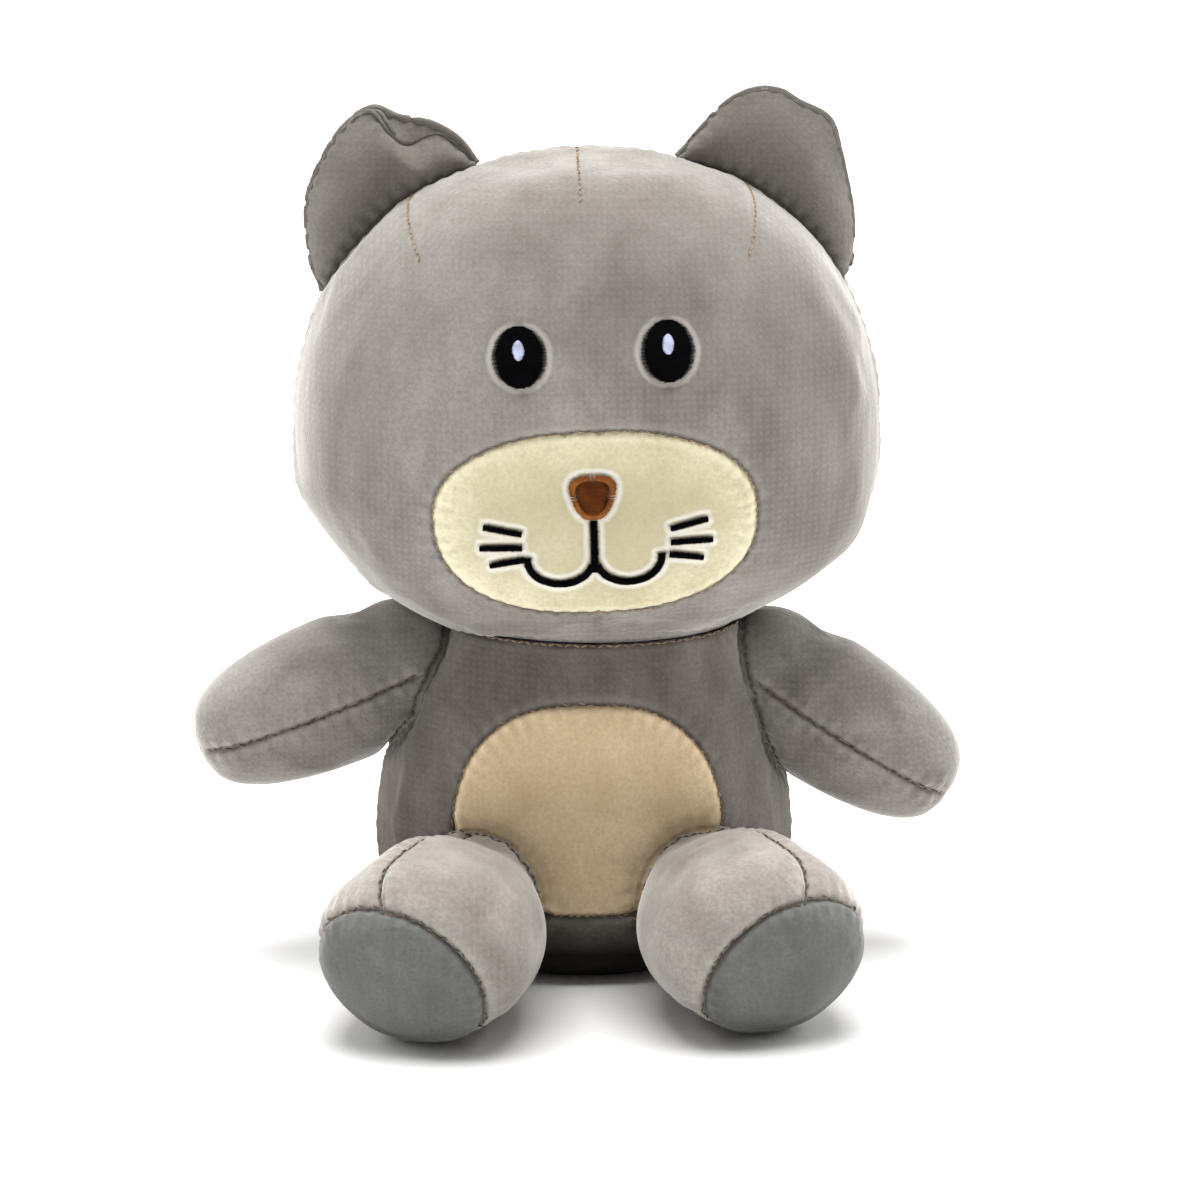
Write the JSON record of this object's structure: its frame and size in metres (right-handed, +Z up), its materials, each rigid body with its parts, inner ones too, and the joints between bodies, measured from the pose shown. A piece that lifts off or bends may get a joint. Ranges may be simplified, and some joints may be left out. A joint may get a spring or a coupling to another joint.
{
  "type": "plush cat",
  "caption": "Sitting stuffed toy cat with a large rounded head, floppy ears, stubby arms and legs, an inset muzzle and belly patch, and a flat seat.",
  "frame": {"origin": "centre of the flat seat panel, on the surface that the toy sits on", "axes": "+Z up, the face looks along -Y, +X is the cat's own left"},
  "size_m": [0.2199, 0.2178, 0.2432],
  "materials": {
    "taupe_velboa": "short brushed pile with a soft sheen",
    "grey_velboa": "short brushed pile, cooler grey, diagonal nap",
    "cream_velboa": "short brushed pile with a soft sheen",
    "peach_velboa": "short brushed pile with a soft sheen",
    "black_thread": "satin stitch",
    "brown_thread": "satin stitch",
    "dark_brown_thread": "satin stitch",
    "pale_thread": "satin stitch",
    "fibre_filling": "matt loose fibre",
    "bag_cloth": "plain woven cotton",
    "pellets": "translucent round beads",
    "label_satin": "smooth satin ribbon, blank"
  },
  "bodies": {
    "torso": {"torso_front_panel": "taupe_velboa", "torso_back_left_panel": "taupe_velboa", "torso_back_right_panel": "taupe_velboa", "belly_patch": "peach_velboa", "base_panel": "taupe_velboa", "torso_stuffing": "fibre_filling", "pellet_bag": "bag_cloth", "bean_pellets": "pellets", "sewn_in_label": "label_satin"},
    "neck": {"neck_stuffing": "fibre_filling"},
    "head": {"head_front_panel": "taupe_velboa", "head_back_left_panel": "taupe_velboa", "head_back_right_panel": "taupe_velboa", "muzzle_patch": "cream_velboa", "left_eye": "black_thread", "right_eye": "black_thread", "eye_highlights": "pale_thread", "nose_fill": "dark_brown_thread", "nose_border": "brown_thread", "mouth_stitching": "black_thread", "whisker_stitching": "black_thread", "head_stuffing": "fibre_filling"},
    "left_ear": {"left_ear_front_panel": "taupe_velboa", "left_ear_back_panel": "taupe_velboa"},
    "right_ear": {"right_ear_front_panel": "taupe_velboa", "right_ear_back_panel": "taupe_velboa"},
    "left_arm": {"left_arm_upper_panel": "taupe_velboa", "left_arm_lower_panel": "taupe_velboa", "left_arm_stuffing": "fibre_filling"},
    "right_arm": {"right_arm_upper_panel": "taupe_velboa", "right_arm_lower_panel": "taupe_velboa", "right_arm_stuffing": "fibre_filling"},
    "left_leg": {"left_leg_inner_panel": "taupe_velboa", "left_leg_outer_panel": "taupe_velboa", "left_sole": "grey_velboa", "left_leg_stuffing": "fibre_filling"},
    "right_leg": {"right_leg_inner_panel": "taupe_velboa", "right_leg_outer_panel": "taupe_velboa", "right_sole": "grey_velboa", "right_leg_stuffing": "fibre_filling"},
    "tail": {"tail_left_panel": "taupe_velboa", "tail_right_panel": "taupe_velboa", "tail_stuffing": "fibre_filling"}
  },
  "joints": [
    {"name": "head_turn", "type": "hinge", "parent": "torso", "child": "neck", "pos_m": [0.003, 0, 0.092], "axis": [0, 0, 1], "range_deg": [-30, 30], "stiffness_Nm_per_rad": 0.8},
    {"name": "head_nod", "type": "hinge", "parent": "neck", "child": "head", "pos_m": [0.003, 0, 0.0945], "axis": [1, 0, 0], "range_deg": [-8, 8], "stiffness_Nm_per_rad": 1.2},
    {"name": "left_ear_fold", "type": "hinge", "parent": "head", "child": "left_ear", "pos_m": [0.04934, 0, 0.21654], "axis": [-0.809, 0, 0.5878], "range_deg": [-35, 35], "stiffness_Nm_per_rad": 0.03},
    {"name": "right_ear_fold", "type": "hinge", "parent": "head", "child": "right_ear", "pos_m": [-0.05192, 0, 0.213], "axis": [-0.766, 0, -0.6428], "range_deg": [-35, 35], "stiffness_Nm_per_rad": 0.03},
    {"name": "left_arm_raise", "type": "hinge", "parent": "torso", "child": "left_arm", "pos_m": [0.053, -0.002, 0.079], "axis": [0, -1, 0], "range_deg": [-4, 42], "stiffness_Nm_per_rad": 0.15},
    {"name": "right_arm_raise", "type": "hinge", "parent": "torso", "child": "right_arm", "pos_m": [-0.053, -0.002, 0.079], "axis": [0, 1, 0], "range_deg": [-15, 30], "stiffness_Nm_per_rad": 0.15},
    {"name": "left_leg_lift", "type": "hinge", "parent": "torso", "child": "left_leg", "pos_m": [0.033, -0.0385, 0.02562], "axis": [-1, 0, 0], "range_deg": [0, 32], "stiffness_Nm_per_rad": 0.3},
    {"name": "right_leg_lift", "type": "hinge", "parent": "torso", "child": "right_leg", "pos_m": [-0.033, -0.0435, 0.02562], "axis": [-1, 0, 0], "range_deg": [0, 32], "stiffness_Nm_per_rad": 0.3},
    {"name": "tail_swing", "type": "hinge", "parent": "torso", "child": "tail", "pos_m": [0, 0.05, 0.0125], "axis": [0, 0, 1], "range_deg": [-25, 25], "stiffness_Nm_per_rad": 0.1}
  ]
}
